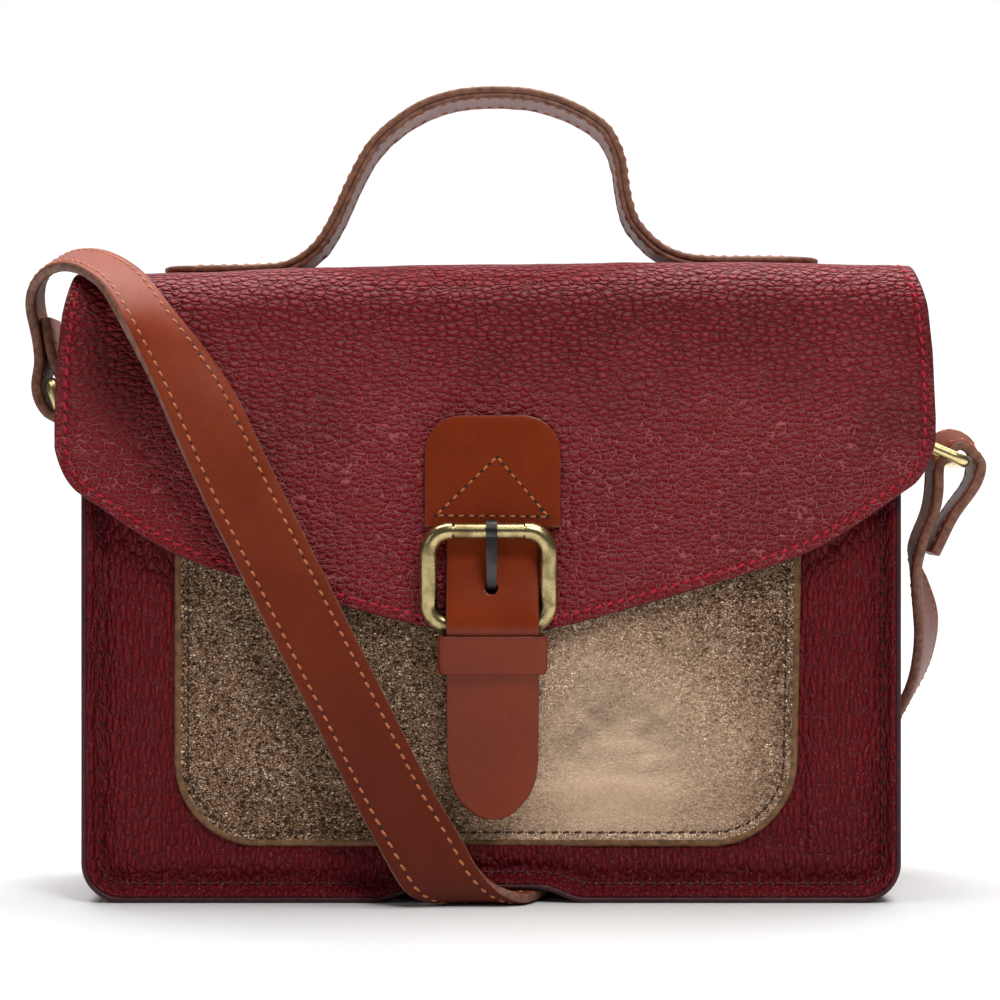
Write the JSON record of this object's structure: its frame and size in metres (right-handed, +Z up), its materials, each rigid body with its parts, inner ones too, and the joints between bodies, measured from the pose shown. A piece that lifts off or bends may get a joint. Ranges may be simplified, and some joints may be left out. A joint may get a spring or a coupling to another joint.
{
  "type": "satchel bag",
  "caption": "Small leather satchel with a front flap, top handle, sewn front pocket, buckled tongue closure and a flat shoulder strap hung from two side rings.",
  "frame": {"origin": "middle of the space that the bag and its strap take up, on the floor", "axes": "X right seen from the front, the front faces -Y, +Z up"},
  "size_m": [0.3036, 0.1294, 0.2529],
  "materials": {
    "burgundy_leather": "pebbled, semi-gloss",
    "tan_leather": "smooth, waxed",
    "handle_lining_leather": "smooth, wrinkled",
    "bronze_foil_leather": "crackled metallic foil",
    "edge_paint": "painted raw edge",
    "lining_cloth": "plain weave",
    "board": "fibre board",
    "antique_brass": "antiqued, brushed back to bright",
    "pale_brass": "polished",
    "gunmetal": "dark, worn"
  },
  "bodies": {
    "bag_body": {"gusset": "burgundy_leather", "front_panel": "burgundy_leather", "back_panel": "burgundy_leather", "lining": "lining_cloth", "base_board": "board", "flap_hinge_strip": "burgundy_leather", "front_pocket": "bronze_foil_leather", "front_pocket_edging": "edge_paint", "snap_socket": "pale_brass", "ring_tab_left": "burgundy_leather", "ring_tab_right": "burgundy_leather", "shoulder_strap_end": "tan_leather", "shoulder_strap_back": "tan_leather"},
    "flap_upper": {"flap_top": "burgundy_leather", "flap_top_lining": "lining_cloth", "handle_upper": "tan_leather", "handle_lining": "handle_lining_leather"},
    "flap_lower": {"flap_front": "burgundy_leather", "flap_front_lining": "lining_cloth", "snap_stud": "pale_brass", "buckle_tab": "tan_leather", "tongue_strap": "tan_leather", "keeper": "tan_leather", "buckle_frame": "antique_brass"},
    "roller": {"buckle_roller": "antique_brass"},
    "prong": {"buckle_prong": "gunmetal"},
    "left_ring": {"ring_left": "pale_brass"},
    "right_ring": {"ring_right": "pale_brass"},
    "strap_run": {"shoulder_strap_front": "tan_leather"}
  },
  "joints": [
    {"name": "flap_open", "type": "hinge", "parent": "bag_body", "child": "flap_upper", "pos_m": [-0.00385, 0.02278, 0.1875], "axis": [-1, 0, 0], "range_deg": [0, 110]},
    {"name": "flap_fold", "type": "hinge", "parent": "flap_upper", "child": "flap_lower", "pos_m": [-0.00385, -0.04162, 0.195], "axis": [-1, 0, 0], "range_deg": [0, 80]},
    {"name": "strap_swing", "type": "hinge", "parent": "bag_body", "child": "strap_run", "pos_m": [-0.14965, -0.01282, 0.184], "axis": [0.5793, -0.2011, -0.7899], "range_deg": [0, 65], "deforming": ["shoulder_strap_front", "shoulder_strap_end", "shoulder_strap_back"]},
    {"name": "prong_pivot", "type": "hinge", "parent": "flap_lower", "child": "prong", "pos_m": [-0.00365, -0.06122, 0.1133], "axis": [-1, 0, 0], "range_deg": [0, 130]},
    {"name": "roller_spin", "type": "hinge", "parent": "flap_lower", "child": "roller", "pos_m": [-0.00385, -0.06122, 0.1133], "axis": [1, 0, 0], "continuous": true},
    {"name": "left_ring_swing", "type": "hinge", "parent": "bag_body", "child": "left_ring", "pos_m": [-0.13535, -0.01282, 0.142], "axis": [0, 1, 0], "range_deg": [-15, 10]},
    {"name": "right_ring_swing", "type": "hinge", "parent": "bag_body", "child": "right_ring", "pos_m": [0.12765, -0.01282, 0.142], "axis": [0, 1, 0], "range_deg": [-25, 15]}
  ],
  "couplings": [
    {"joint": "flap_fold", "follows": "flap_open", "ratio": 0.7272},
    {"joint": "strap_swing", "follows": "flap_open", "ratio": 0.5909}
  ]
}
